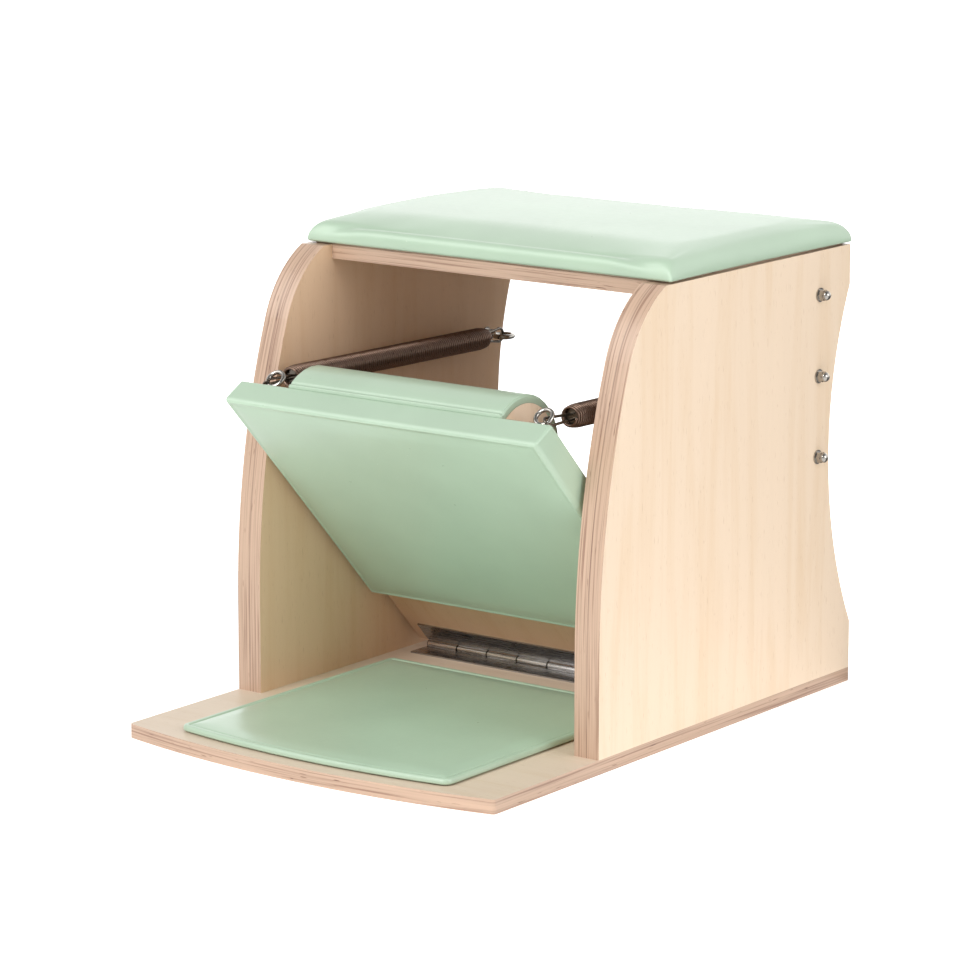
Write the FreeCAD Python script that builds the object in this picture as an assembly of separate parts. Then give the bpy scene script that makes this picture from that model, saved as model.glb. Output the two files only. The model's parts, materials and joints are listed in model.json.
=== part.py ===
import FreeCAD, Part
import math
import os

# A pilates chair: a plywood frame with an upholstered seat, a padded foot pedal on a long
# hinge, and two extension springs that hold the pedal up. Millimetres, +Z up, front to -Y.
# The origin is on the floor, in the middle of the whole chair's box.

# Plywood frame
overall_width = 560.0
overall_depth = 800.0
board_thickness = 18.0
panel_thickness = 36.0
panel_top = 574.0
base_front_bow = 31.0
base_corner_radius = 5.0

# Side panel outline, seen from the side
panel_setback = 239.5
front_straight = 123.0
brow_height = 84.0
sweep_lean_deg = 19.3
brow_lean_deg = 63.0
foot_height = 62.0
waist_height = 294.0
waist_depth = 57.5
head_height = 51.0
head_setback = 13.5

# Seat board, its dowels and the seat cushion
seat_front_inset = 17.5
seat_rear_inset = 3.0
dowel_diameter = 10.0
dowel_in_panel = 18.0
dowel_in_board = 22.0
dowel_place_shares = (0.14, 0.5, 0.86)
cushion_front_inset = 10.0
cushion_rear_overhang = 4.5
cushion_thickness = 38.0
cushion_shadow_gap = 2.0
cushion_corner_radius = 9.0
cushion_shoulder_share = 0.235
cushion_corner_share = 0.5
cushion_draw_in = 3.0
cushion_rise_shares = (0.0, 0.12, 0.3, 0.5, 0.66, 0.8, 0.9, 0.96, 1.0)
cushion_inset_shares = (0.02, 0.004, 0.0, 0.01, 0.03, 0.09, 0.22, 0.45, 1.0)
backing_thickness = 9.0
backing_inset = 9.0
seat_screw_diameter = 5.0
seat_screw_head = 12.0
seat_screw_head_height = 3.5
seat_screw_side_inset = 22.0
seat_screw_end_inset = 24.0
seat_screw_bite = 7.0

# Screws up through the base into the panels
base_screw_diameter = 6.0
base_screw_head = 12.0
base_screw_length = 70.0
base_screw_sink = 0.6
base_screw_place_shares = (0.1, 0.5, 0.9)

# Mat on the base board
mat_width = 412.0
mat_front_margin = 22.0
mat_rear_margin = 59.0
mat_thickness = 10.0
mat_corner_radius = 12.0
mat_roll = 26.0
mat_draw_in = 1.5
mat_rise_shares = (0.0, 0.25, 0.55, 0.8, 0.93, 1.0)
mat_inset_shares = (0.04, 0.0, 0.02, 0.09, 0.28, 1.0)

# Continuous hinge
hinge_from_rear = 242.5
hinge_end_gap = 24.0
knuckle_diameter = 9.5
knuckle_count = 9
knuckle_gap = 0.4
leaf_width = 40.0
leaf_thickness = 2.0
pin_diameter = 5.0
pin_fit = 0.05
hinge_screw_diameter = 4.0
hinge_screw_head = 8.0
hinge_screw_length = 15.0
hinge_screw_edge = 8.0
hinge_screw_count = 4
hinge_screw_end_margin = 22.0

# Pedal, its pad and the half-round foot bar
pedal_angle_deg = 46.0
pedal_side_gap = 6.0
pedal_heel = 2.0
pedal_reach = 540.0
pedal_bevel = 10.0
pedal_pad_start = 131.0
pedal_pad_thickness = 18.8
pedal_pad_crown = 1.2
pedal_pad_corner = 7.0
pedal_pad_roll = 46.0
pedal_pad_draw_in = 1.2
pedal_pad_rise_shares = (0.0, 0.45, 0.8, 0.95, 1.0)
pedal_pad_inset_shares = (0.0, 0.0, 0.03, 0.12, 1.0)
vinyl_thickness = 1.5
bar_length = 326.0
bar_radius = 68.0
bar_padding = 7.0
bar_front_inset = 3.0
bar_screw_diameter = 6.0
bar_screw_head = 12.0
bar_screw_bite = 30.0
bar_screw_place_shares = (-0.34, 0.0, 0.34)

# Eye bolts on panels and pedal
eye_radius = 12.0
eye_wire = 6.5
eye_shank = 8.0
eye_hole_fit = 0.1
eye_from_panel = 29.0
eye_from_rear = 84.5
upper_eye_drop = 56.0
eye_spacing = 104.0
washer_diameter = 18.0
washer_thickness = 1.6
nut_flats = 13.0
nut_height = 6.5
cap_nut_hex_height = 6.5
cap_nut_height = 14.0
thread_in_cap = 8.0
pedal_eye_radius = 11.0
pedal_eye_wire = 5.5
pedal_eye_inset = 20.0
pedal_eye_rise = 22.5
tee_nut_flange = 22.0
tee_nut_flange_thickness = 1.5
tee_nut_barrel = 11.0
tee_nut_barrel_length = 10.0

# Extension springs and their hooks
spring_wire = 4.0
spring_outer_diameter = 30.0
spring_mouth_diameter = 23.0
spring_taper = 26.0
spring_turns = 48
front_mouth = 40.0
rear_mouth = 29.0
hook_wire = 3.5
front_loop_radius = 4.1
rear_loop_radius = 7.0
hook_leg_spread = 3.6
hook_head_sink = 8.0
hook_head_length = 14.0
hook_head_clearance = 0.3
hook_tilt_deg = 45.0
hook_drop_deg = 30.0
rear_play_along = 5.4
rear_play_across = 2.5

# Fits and cutting
hole_fit = 0.05
overrun = 20.0

# Places that follow from the sizes above
half_width = overall_width / 2
inner_half = half_width - panel_thickness
rear_y = overall_depth / 2
front_y = -overall_depth / 2
base_top = board_thickness
panel_front = front_y + panel_setback
panel_length = rear_y - panel_front
head_y = rear_y - head_setback
sweep_lean = math.radians(sweep_lean_deg)
brow_lean = math.radians(brow_lean_deg)
straight_top = base_top + front_straight
brow_z = panel_top - brow_height
sweep_radius = (brow_z - straight_top) / math.sin(sweep_lean)
brow_radius = brow_height / (math.sin(brow_lean) - math.sin(sweep_lean))
brow_y = panel_front + sweep_radius * (1 - math.cos(sweep_lean))
top_front_y = brow_y + brow_radius * (math.cos(sweep_lean) - math.cos(brow_lean))
seat_front = top_front_y + seat_front_inset
seat_rear = head_y - seat_rear_inset
seat_low = panel_top - board_thickness
cushion_front = top_front_y + cushion_front_inset
cushion_rear = head_y + cushion_rear_overhang
knuckle_radius = knuckle_diameter / 2
hinge_y = rear_y - hinge_from_rear
hinge_z = base_top + knuckle_radius
hinge_length = 2 * (inner_half - hinge_end_gap)
mat_rear = hinge_y - leaf_width - mat_rear_margin
pedal_angle = math.radians(pedal_angle_deg)
pedal_half = inner_half - pedal_side_gap
board_front_over = knuckle_radius
board_rear_over = board_front_over + board_thickness
spring_x = inner_half - eye_from_panel
hook_drop = math.radians(hook_drop_deg)
pedal_eye_x = spring_x - pedal_eye_radius * math.cos(hook_drop)
eye_y = rear_y - eye_from_rear
sides = {"left": -1, "right": 1}
x_axis = FreeCAD.Vector(1, 0, 0)
y_axis = FreeCAD.Vector(0, 1, 0)
z_axis = FreeCAD.Vector(0, 0, 1)
nodes = {}


def vec(x, y, z):
    return FreeCAD.Vector(x, y, z)


def box(x0, x1, y0, y1, z0, z1):
    return Part.makeBox(x1 - x0, y1 - y0, z1 - z0, vec(x0, y0, z0))


def rod(start, way, diameter, length):
    return Part.makeCylinder(diameter / 2, length, start, way)


def line(a, b):
    return Part.LineSegment(a, b).toShape()


def arc(a, b, c):
    return Part.Arc(a, b, c).toShape()


def prism(edges, way):
    return Part.Face(Part.Wire(edges)).extrude(way)


def cut_all(shape, tools):
    for tool in tools:
        shape = shape.cut(tool)
    return shape


def fuse_all(shapes):
    return shapes[0].multiFuse(shapes[1:]).removeSplitter()


def countersunk_screw(start, way, diameter, head, length, grow=0.0):
    """A screw whose flat head lies at start. grow widens it into the hole that it leaves."""
    head_depth = (head - diameter) / 2
    cone = Part.makeCone(head / 2 + grow, diameter / 2 + grow, head_depth, start, way)
    return cone.fuse(rod(start, way, diameter + 2 * grow, length + grow))


def swept(edges, diameter):
    """A round wire along a path of lines and arcs that starts with the first edge's first end."""
    first = edges[0]
    start = first.valueAt(first.FirstParameter)
    ring = Part.Wire(Part.makeCircle(diameter / 2, start, first.tangentAt(first.FirstParameter)))
    shell = Part.BRepOffsetAPI.MakePipeShell(Part.Wire(edges))
    shell.add(ring)
    shell.build()
    shell.makeSolid()
    return shell.shape()


def side_edge(a, b, outward, bow):
    """One side of a soft outline: an arc that stands out by bow, or is drawn in where bow is negative."""
    if bow == 0:
        return line(a, b)
    return arc(a, (a + b) / 2 + outward * bow, b)


def soft_outline(half_x, y0, y1, z, corner, front_bow, draw_in):
    """A closed outline with round corners, a bowed front edge and three sides drawn in between."""
    near = corner * (1 - math.sqrt(0.5))
    corners = (
        (vec(-half_x, y0 + corner, z), vec(-half_x + near, y0 + near, z), vec(-half_x + corner, y0, z)),
        (vec(half_x - corner, y0, z), vec(half_x - near, y0 + near, z), vec(half_x, y0 + corner, z)),
        (vec(half_x, y1 - corner, z), vec(half_x - near, y1 - near, z), vec(half_x - corner, y1, z)),
        (vec(-half_x + corner, y1, z), vec(-half_x + near, y1 - near, z), vec(-half_x, y1 - corner, z)),
    )
    bows = (front_bow, -draw_in, -draw_in, -draw_in)
    outwards = (-y_axis, x_axis, y_axis, -x_axis)
    edges = []
    for k in range(4):
        edges.append(arc(*corners[k]))
        edges.append(side_edge(corners[k][2], corners[(k + 1) % 4][0], outwards[k], bows[k]))
    return Part.Wire(edges)


def pedal_place(shape):
    """Lifts a shape from the flat pedal, which lies along -Y from the hinge, to the rest angle."""
    shape.rotate(vec(0, hinge_y, hinge_z), x_axis, -pedal_angle_deg)
    return shape


def pedal_box(x0, x1, along0, along1, over0, over1):
    """A box on the flat pedal: along runs from the hinge pin to the front, over runs up from the pin."""
    return box(x0, x1, hinge_y - along1, hinge_y - along0, hinge_z + over0, hinge_z + over1)


def hex_prism(centre, way, flats, height):
    """A hexagonal bar along X."""
    radius = flats / math.sqrt(3)
    corners = []
    for k in range(7):
        angle = math.radians(60 * k)
        corners.append(centre + vec(0, radius * math.cos(angle), radius * math.sin(angle)))
    return Part.Face(Part.makePolygon(corners)).extrude(way * height)


# Base board


def base_screw_places(z):
    """Points under the middle of each panel, at a height."""
    places = []
    for side in sides.values():
        for share in base_screw_place_shares:
            x = side * (half_width - panel_thickness / 2)
            places.append(vec(x, panel_front + share * panel_length, z))
    return places


def base_screws(grow=0.0):
    """Screws up through the base, three into each panel."""
    screws = []
    for start in base_screw_places(base_screw_sink):
        screw = countersunk_screw(
            start, z_axis, base_screw_diameter, base_screw_head, base_screw_length, grow
        )
        screws.append(screw)
    return screws


def base_screw_sinks():
    """The short straight sink under each screw head."""
    diameter = base_screw_head + 2 * hole_fit
    depth = overrun + base_screw_sink
    return [rod(start, z_axis, diameter, depth) for start in base_screw_places(-overrun)]


def base_board():
    """A straight back and sides, and a front edge that bows forward between round corners."""
    corner_y = front_y + base_front_bow
    left = vec(-half_width, corner_y, 0)
    right = vec(half_width, corner_y, 0)
    edges = [
        line(vec(-half_width, rear_y, 0), left),
        arc(left, vec(0, front_y, 0), right),
        line(right, vec(half_width, rear_y, 0)),
        line(vec(half_width, rear_y, 0), vec(-half_width, rear_y, 0)),
    ]
    board = prism(edges, z_axis * board_thickness)
    rounded = []
    for edge in board.Edges:
        upright = abs(edge.tangentAt(edge.FirstParameter).z) > 0.5
        if upright and edge.CenterOfMass.y < panel_front:
            rounded.append(edge)
    board = board.makeFillet(base_corner_radius, rounded)
    return cut_all(board, base_screws(hole_fit) + base_screw_sinks() + hinge_screws(hole_fit))


# Side panels


def on_sweep(x, lean):
    back = sweep_radius * (1 - math.cos(lean))
    return vec(x, panel_front + back, straight_top + sweep_radius * math.sin(lean))


def on_brow(x, lean):
    back = brow_radius * (math.cos(sweep_lean) - math.cos(lean))
    return vec(x, brow_y + back, brow_z + brow_radius * (math.sin(lean) - math.sin(sweep_lean)))


def panel_outline(x):
    """A front that sweeps back to the brow, a level top, and a hollow rear over a straight foot."""
    foot = vec(x, panel_front, base_top)
    top_front = on_brow(x, brow_lean)
    top_rear = vec(x, head_y, panel_top)
    head_low = vec(x, head_y, panel_top - head_height)
    waist = vec(x, rear_y - waist_depth, base_top + waist_height)
    foot_high = vec(x, rear_y, base_top + foot_height)
    heel = vec(x, rear_y, base_top)
    return [
        line(foot, on_sweep(x, 0)),
        arc(on_sweep(x, 0), on_sweep(x, sweep_lean / 2), on_sweep(x, sweep_lean)),
        arc(on_brow(x, sweep_lean), on_brow(x, (sweep_lean + brow_lean) / 2), top_front),
        line(top_front, top_rear),
        line(top_rear, head_low),
        arc(head_low, waist, foot_high),
        line(foot_high, heel),
        line(heel, foot),
    ]


def seat_dowels(grow=0.0):
    """Wooden dowels that carry the seat board between the panels."""
    dowels = []
    for side in sides.values():
        for share in dowel_place_shares:
            y = seat_front + share * (seat_rear - seat_front)
            start = vec(side * (inner_half - dowel_in_board - grow), y, seat_low + board_thickness / 2)
            length = dowel_in_board + dowel_in_panel + 2 * grow
            dowels.append(rod(start, x_axis * side, dowel_diameter + 2 * grow, length))
    return dowels


def eye_heights():
    """Three eyes down each panel, counted from its top."""
    upper = panel_top - upper_eye_drop
    return {"upper": upper, "middle": upper - eye_spacing, "lower": upper - 2 * eye_spacing}


def side_panel(side):
    panel = prism(panel_outline(side * inner_half), x_axis * side * panel_thickness)
    holes = base_screws(hole_fit) + seat_dowels(hole_fit)
    for z in eye_heights().values():
        start = vec(side * (inner_half - overrun), eye_y, z)
        holes.append(rod(start, x_axis * side, eye_shank + 2 * eye_hole_fit, panel_thickness + 2 * overrun))
    return cut_all(panel, holes)


# Seat


def seat_screws(grow=0.0):
    """Pan-head screws up through the seat board into the cushion's backing."""
    screws = []
    reach = board_thickness + seat_screw_bite
    for side in sides.values():
        for y in (seat_front + seat_screw_end_inset, seat_rear - seat_screw_end_inset):
            foot = vec(side * (inner_half - seat_screw_side_inset), y, seat_low)
            head = rod(foot, -z_axis, seat_screw_head, seat_screw_head_height)
            shank = rod(foot, z_axis, seat_screw_diameter + 2 * grow, reach + grow)
            screws.append(shank if grow else head.fuse(shank))
    return screws


def seat_board():
    board = box(-inner_half, inner_half, seat_front, seat_rear, seat_low, panel_top)
    return cut_all(board, seat_dowels(hole_fit) + seat_screws(hole_fit))


def cushion_backing(grow=0.0):
    """The thin plywood that the cushion is upholstered on."""
    inset = backing_inset - grow
    y0 = cushion_front + inset
    y1 = cushion_rear - inset
    top = panel_top + backing_thickness + grow
    return box(-half_width + inset, half_width - inset, y0, y1, panel_top, top)


def seat_cushion():
    """Foam and vinyl over the backing: drawn in along the sides, rolled over at the rim and crowned."""
    low = panel_top + cushion_shadow_gap
    rise = cushion_thickness - cushion_shadow_gap
    shoulder = cushion_shoulder_share * (cushion_rear - cushion_front)
    outlines = []
    for rise_share, inset_share in zip(cushion_rise_shares, cushion_inset_shares):
        inset = inset_share * shoulder
        corner = cushion_corner_radius + cushion_corner_share * inset
        outlines.append(
            soft_outline(
                half_width - inset,
                cushion_front + inset,
                cushion_rear - inset,
                low + rise_share * rise,
                corner,
                -cushion_draw_in,
                cushion_draw_in,
            )
        )
    return Part.makeLoft(outlines, True, True).cut(cushion_backing(hole_fit))


# Mat on the base


def base_mat():
    """A thin upholstered mat whose front edge follows the bow of the base."""
    half_mat = mat_width / 2
    bow = base_front_bow * (mat_width / overall_width) ** 2
    front = front_y + mat_front_margin + bow
    outlines = []
    for rise_share, inset_share in zip(mat_rise_shares, mat_inset_shares):
        inset = inset_share * mat_roll
        outlines.append(
            soft_outline(
                half_mat - inset,
                front + inset,
                mat_rear - inset,
                base_top + rise_share * mat_thickness,
                mat_corner_radius,
                bow,
                mat_draw_in,
            )
        )
    return Part.makeLoft(outlines, True, True)


# Continuous hinge


def knuckles(odd):
    """X ranges of every other knuckle along the hinge."""
    pitch = hinge_length / knuckle_count
    spans = []
    for k in range(knuckle_count):
        if (k % 2 == 1) == odd:
            start = -hinge_length / 2 + k * pitch
            spans.append((start, start + pitch))
    return spans


def hinge_leaf(over0, over1, own, other):
    """A leaf on the flat pedal's side of the pin, with its own knuckles rolled round the bore."""
    half = hinge_length / 2
    leaf = pedal_box(-half, half, 0, leaf_width, over0, over1)
    clear = knuckle_radius + knuckle_gap
    for x0, x1 in other:
        leaf = leaf.cut(pedal_box(x0, x1, -clear, clear, -clear, clear))
    barrels = []
    for x0, x1 in own:
        start = vec(x0 + knuckle_gap / 2, hinge_y, hinge_z)
        barrels.append(rod(start, x_axis, knuckle_diameter, x1 - x0 - knuckle_gap))
    leaf = fuse_all([leaf] + barrels)
    bore_start = vec(-half - overrun, hinge_y, hinge_z)
    bore = rod(bore_start, x_axis, pin_diameter + 2 * pin_fit, hinge_length + 2 * overrun)
    return leaf.cut(bore)


def hinge_screw_row(over, way, grow):
    """Countersunk screws along a leaf, whose heads lie flush with the leaf's open face."""
    screws = []
    span = hinge_length - 2 * hinge_screw_end_margin
    for k in range(hinge_screw_count):
        x = -span / 2 + k * span / (hinge_screw_count - 1)
        start = vec(x, hinge_y - leaf_width + hinge_screw_edge, hinge_z + over)
        screws.append(
            countersunk_screw(start, way, hinge_screw_diameter, hinge_screw_head, hinge_screw_length, grow)
        )
    return screws


def hinge_screws(grow=0.0):
    """Screws down through the base leaf."""
    return hinge_screw_row(leaf_thickness - knuckle_radius, -z_axis, grow)


def pedal_hinge_screws(grow=0.0):
    """Screws through the pedal leaf, on the flat pedal."""
    return hinge_screw_row(knuckle_radius - leaf_thickness, z_axis, grow)


def hinge_base_leaf():
    leaf = hinge_leaf(-knuckle_radius, leaf_thickness - knuckle_radius, knuckles(False), knuckles(True))
    return cut_all(leaf, hinge_screws(hole_fit))


def hinge_pedal_leaf():
    leaf = hinge_leaf(knuckle_radius - leaf_thickness, knuckle_radius, knuckles(True), knuckles(False))
    return pedal_place(cut_all(leaf, pedal_hinge_screws(hole_fit)))


# Pedal, modelled flat and then lifted


def bar_screws(grow=0.0):
    """Screws from the board's padded face into the foot bar."""
    screws = []
    centre_along = pedal_reach - bar_front_inset - bar_radius
    for share in bar_screw_place_shares:
        start = vec(share * bar_length, hinge_y - centre_along, hinge_z + board_front_over)
        length = board_thickness + bar_screw_bite
        screws.append(countersunk_screw(start, z_axis, bar_screw_diameter, bar_screw_head, length, grow))
    return screws


def bevel_at(over):
    """How far the top edge stands out past its rear corner, at a height over the pin."""
    whole = board_rear_over - board_front_over + pedal_pad_thickness
    return pedal_bevel * (board_rear_over - over) / whole


def pedal_core():
    """The plywood under the vinyl, without its holes, with a bevelled top edge."""
    half = pedal_half - vinyl_thickness
    reach = pedal_reach - vinyl_thickness
    corners = (
        (pedal_heel, board_front_over),
        (reach + bevel_at(board_front_over), board_front_over),
        (reach, board_rear_over),
        (pedal_heel, board_rear_over),
        (pedal_heel, board_front_over),
    )
    points = [vec(-half, hinge_y - along, hinge_z + over) for along, over in corners]
    return Part.Face(Part.makePolygon(points)).extrude(x_axis * 2 * half)


def pedal_board():
    holes = bar_screws(hole_fit) + pedal_hinge_screws(hole_fit) + tee_nuts(hole_fit)
    return pedal_place(cut_all(pedal_core(), holes))


def pedal_pad():
    """Foam and vinyl on the pedal's lower face, with the vinyl drawn round the sides and the top edge."""
    outlines = []
    drops = [board_rear_over]
    drops += [board_front_over - share * pedal_pad_thickness for share in pedal_pad_rise_shares[:-1]]
    drops.append(board_front_over - pedal_pad_thickness - pedal_pad_crown)
    for over, inset_share in zip(drops, (0.0,) + pedal_pad_inset_shares):
        inset = inset_share * pedal_pad_roll
        outlines.append(
            soft_outline(
                pedal_half - inset,
                hinge_y - pedal_reach - bevel_at(max(over, board_front_over - pedal_pad_thickness)) + inset,
                hinge_y - pedal_pad_start - inset,
                hinge_z + over,
                pedal_pad_corner,
                -pedal_pad_draw_in,
                pedal_pad_draw_in,
            )
        )
    pad = Part.makeLoft(outlines, True, True)
    return pedal_place(pad.cut(pedal_core()))


def half_round(radius, length):
    """A half-round bar lying on the flat pedal's upper face."""
    centre_y = hinge_y - pedal_reach + bar_front_inset + bar_radius
    low = hinge_z + board_rear_over
    a = vec(-length / 2, centre_y - radius, low)
    b = vec(-length / 2, centre_y, low + radius)
    c = vec(-length / 2, centre_y + radius, low)
    return prism([arc(a, b, c), line(c, a)], x_axis * length)


def foot_bar():
    return pedal_place(cut_all(half_round(bar_radius - bar_padding, bar_length), bar_screws(hole_fit)))


def foot_bar_padding():
    core = half_round(bar_radius - bar_padding, bar_length)
    return pedal_place(half_round(bar_radius, bar_length).cut(core))


# Eye bolts


def panel_eye(side, z):
    """A forged eye whose shank runs out through the panel to a washer and a cap nut."""
    centre = vec(side * spring_x, eye_y, z)
    ring = Part.makeTorus(eye_radius, eye_wire / 2, centre, z_axis)
    start = centre + x_axis * side * eye_radius
    length = eye_from_panel - eye_radius + panel_thickness + washer_thickness + thread_in_cap
    return ring.fuse(rod(start, x_axis * side, eye_shank, length))


def washer(side, x, z):
    start = vec(side * x, eye_y, z)
    outer = rod(start, x_axis * side, washer_diameter, washer_thickness)
    return outer.cut(rod(start, x_axis * side, eye_shank + 2 * eye_hole_fit, washer_thickness))


def panel_washers():
    """A washer under the nut on each face of the panel, at every eye."""
    rings = []
    for side in sides.values():
        for z in eye_heights().values():
            rings.append(washer(side, inner_half - washer_thickness, z))
            rings.append(washer(side, half_width, z))
    return rings


def lock_nuts():
    """The nuts inside the panels."""
    nuts = []
    for side in sides.values():
        for z in eye_heights().values():
            start = vec(side * (inner_half - washer_thickness), eye_y, z)
            nut = hex_prism(start, -x_axis * side, nut_flats, nut_height)
            nuts.append(nut.cut(rod(start, -x_axis * side, eye_shank + 2 * eye_hole_fit, nut_height)))
    return nuts


def cap_nuts():
    """The domed nuts outside the panels."""
    nuts = []
    for side in sides.values():
        for z in eye_heights().values():
            start = vec(side * (half_width + washer_thickness), eye_y, z)
            way = x_axis * side
            hexagon = hex_prism(start, way, nut_flats, cap_nut_hex_height)
            dome_radius = nut_flats / 2
            to_dome = cap_nut_height - dome_radius
            neck = rod(start, way, nut_flats, to_dome)
            dome = Part.makeSphere(dome_radius, start + way * to_dome)
            thread = rod(start, way, eye_shank + 2 * eye_hole_fit, thread_in_cap + hole_fit)
            nuts.append(fuse_all([hexagon, neck, dome]).cut(thread))
    return nuts


def pedal_eye_y():
    return hinge_y - pedal_reach + pedal_eye_inset


def pedal_eye(side):
    """An eye that stands on the pedal's upper face, with its ring across the pedal."""
    foot = vec(side * pedal_eye_x, pedal_eye_y(), hinge_z + board_rear_over)
    centre = foot + z_axis * pedal_eye_rise
    ring = Part.makeTorus(pedal_eye_radius, pedal_eye_wire / 2, centre, y_axis)
    collar = rod(foot, z_axis, washer_diameter, washer_thickness)
    below = board_thickness - tee_nut_flange_thickness
    shank = rod(foot - z_axis * below, z_axis, eye_shank, below + pedal_eye_rise - pedal_eye_radius)
    return pedal_place(fuse_all([ring, collar, shank]))


def tee_nuts(grow=0.0):
    """Flanged nuts let into the board's padded face, one under each eye. Grown, they are the holes."""
    solids = []
    for side in sides.values():
        start = vec(side * pedal_eye_x, pedal_eye_y(), hinge_z + board_front_over)
        flange = rod(start, z_axis, tee_nut_flange + 2 * grow, tee_nut_flange_thickness)
        barrel = rod(start, z_axis, tee_nut_barrel + 2 * grow, tee_nut_barrel_length + grow)
        hole = rod(start, z_axis, eye_shank + 2 * eye_hole_fit, board_thickness)
        if grow:
            solids.append(fuse_all([flange, barrel, hole]))
        else:
            solids.append(flange.fuse(barrel).cut(hole))
    return solids


# Springs and hooks, made along +Z from the pedal eye and then laid on the line to the panel eye
loop_along = pedal_reach - pedal_eye_inset
loop_over = board_rear_over + pedal_eye_rise - pedal_eye_radius * math.sin(hook_drop)
loop_y = hinge_y - loop_along * math.cos(pedal_angle) + loop_over * math.sin(pedal_angle)
loop_z = hinge_z + loop_along * math.sin(pedal_angle) + loop_over * math.cos(pedal_angle)
anchor_y = eye_y - eye_radius
anchor_z = eye_heights()["middle"]
span_y = anchor_y - loop_y
span_z = anchor_z + rear_play_across - loop_z
spring_span = math.hypot(span_y, span_z)
spring_lean_deg = math.degrees(math.atan2(span_z, span_y))
coil_start = front_mouth
coil_end = spring_span - rear_mouth
coil_radius = (spring_outer_diameter - spring_wire) / 2
mouth_radius = (spring_mouth_diameter - spring_wire) / 2


def spring_place(shape, side):
    """Lays a shape made along +Z on one spring's line."""
    shape.rotate(vec(0, 0, 0), x_axis, spring_lean_deg - 90)
    shape.translate(vec(side * spring_x, loop_y, loop_z))
    return shape


def coil_radius_at(z):
    """The coil's middle radius, which tapers smoothly to the mouth at each end."""
    share = min(1.0, (z - coil_start) / spring_taper, (coil_end - z) / spring_taper)
    return mouth_radius + (coil_radius - mouth_radius) * share * (2 - share)


def coil_point(turn):
    z = coil_start + spring_wire + (coil_end - coil_start - 2 * spring_wire) * turn / spring_turns
    angle = 2 * math.pi * turn
    radius = coil_radius_at(z)
    return vec(radius * math.cos(angle), radius * math.sin(angle), z)


def coil_way(turn):
    """The wire's direction at a turn."""
    step = 1 / 720
    return (coil_point(turn + step) - coil_point(turn - step)).normalize()


def tangent_arc(start, way, end):
    """An arc from start, leaving along way, to end."""
    chord = end - start
    across = chord - way * chord.dot(way)
    radius = chord.dot(chord) / (2 * across.Length)
    across.normalize()
    centre = start + across * radius
    middle = (start + end) / 2 - centre
    if chord.dot(way) < 0:
        middle = -middle
    return arc(start, centre + middle.normalize() * radius, end)


def biarc(start, start_way, end, end_way):
    """Two arcs that leave start and reach end along the given directions, and meet smoothly."""
    gap = end - start
    ways = start_way + end_way
    slant = 2 * (1 - start_way.dot(end_way))
    along = gap.dot(ways)
    reach = (math.sqrt(along**2 + slant * gap.dot(gap)) - along) / slant
    middle = (start + start_way * reach + end - end_way * reach) / 2
    first = tangent_arc(start, start_way, middle)
    second = tangent_arc(middle, first.tangentAt(first.LastParameter), end)
    return [first, second]


def spring_coil():
    """One unbroken wire wound in quarter-turn biarcs, with straight ends one wire long."""
    quarters = 4 * spring_turns
    points = [coil_point(k / 4) for k in range(quarters + 1)]
    ways = [coil_way(k / 4) for k in range(quarters + 1)]
    edges = [line(points[0] - ways[0] * spring_wire, points[0])]
    for k in range(quarters):
        edges += biarc(points[k], ways[k], points[k + 1], ways[k + 1])
    edges.append(line(points[-1], points[-1] + ways[-1] * spring_wire))
    return swept(edges, spring_wire)


def coil_self_gap():
    """The least clear gap between the wire's own turns, measured on points of its middle line."""
    per_turn = 24
    points = [coil_point(k / per_turn) for k in range(per_turn * spring_turns + 1)]
    least = spring_span
    for k in range(len(points)):
        for other in points[k + per_turn // 2 : k + 3 * per_turn]:
            least = min(least, points[k].distanceToPoint(other))
    return least - spring_wire


def spring_hook(seat, bend_radius, mouth, way):
    """A wire loop round an eye, with two legs into the coil's mouth and a cone head caught by the taper.

    seat is the place of the loop's inner end, mouth the coil's end, and way is 1 where the coil lies
    towards +Z and -1 where it lies towards -Z.
    """
    wire_radius = bend_radius + hook_wire / 2
    centre = seat + way * bend_radius
    head = mouth + way * hook_head_sink
    reach = abs(head - centre)
    slope = math.atan2(hook_leg_spread, reach)
    turn = math.acos(wire_radius / math.hypot(reach, hook_leg_spread)) + slope
    touch_y = wire_radius * math.sin(turn)
    touch_z = centre + way * wire_radius * math.cos(turn)
    near = turn + (math.pi - turn) / 2
    near_y = wire_radius * math.sin(near)
    near_z = centre + way * wire_radius * math.cos(near)
    tip = vec(0, 0, centre - way * wire_radius)
    edges = [
        line(vec(0, hook_leg_spread, head), vec(0, touch_y, touch_z)),
        arc(vec(0, touch_y, touch_z), vec(0, near_y, near_z), tip),
        arc(tip, vec(0, -near_y, near_z), vec(0, -touch_y, touch_z)),
        line(vec(0, -touch_y, touch_z), vec(0, -hook_leg_spread, head)),
    ]
    head_end = head + way * hook_head_length
    inside = spring_wire / 2 + hook_head_clearance
    low_radius = coil_radius_at(head) - inside
    high_radius = coil_radius_at(head_end) - inside
    cone = Part.makeCone(low_radius, high_radius, hook_head_length, vec(0, 0, head), z_axis * way)
    return fuse_all([swept(edges, hook_wire), cone])


def front_hook(side):
    """The hook round the outer side of the pedal eye's ring, tilted so that one leg runs through the ring."""
    hook = spring_hook(-front_loop_radius, front_loop_radius, coil_start, 1)
    hook.rotate(vec(0, 0, 0), z_axis, -side * hook_tilt_deg)
    return hook


def rear_hook():
    seat = spring_span + rear_play_along + eye_wire / 2
    return spring_hook(seat, rear_loop_radius, coil_end, -1)


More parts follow.
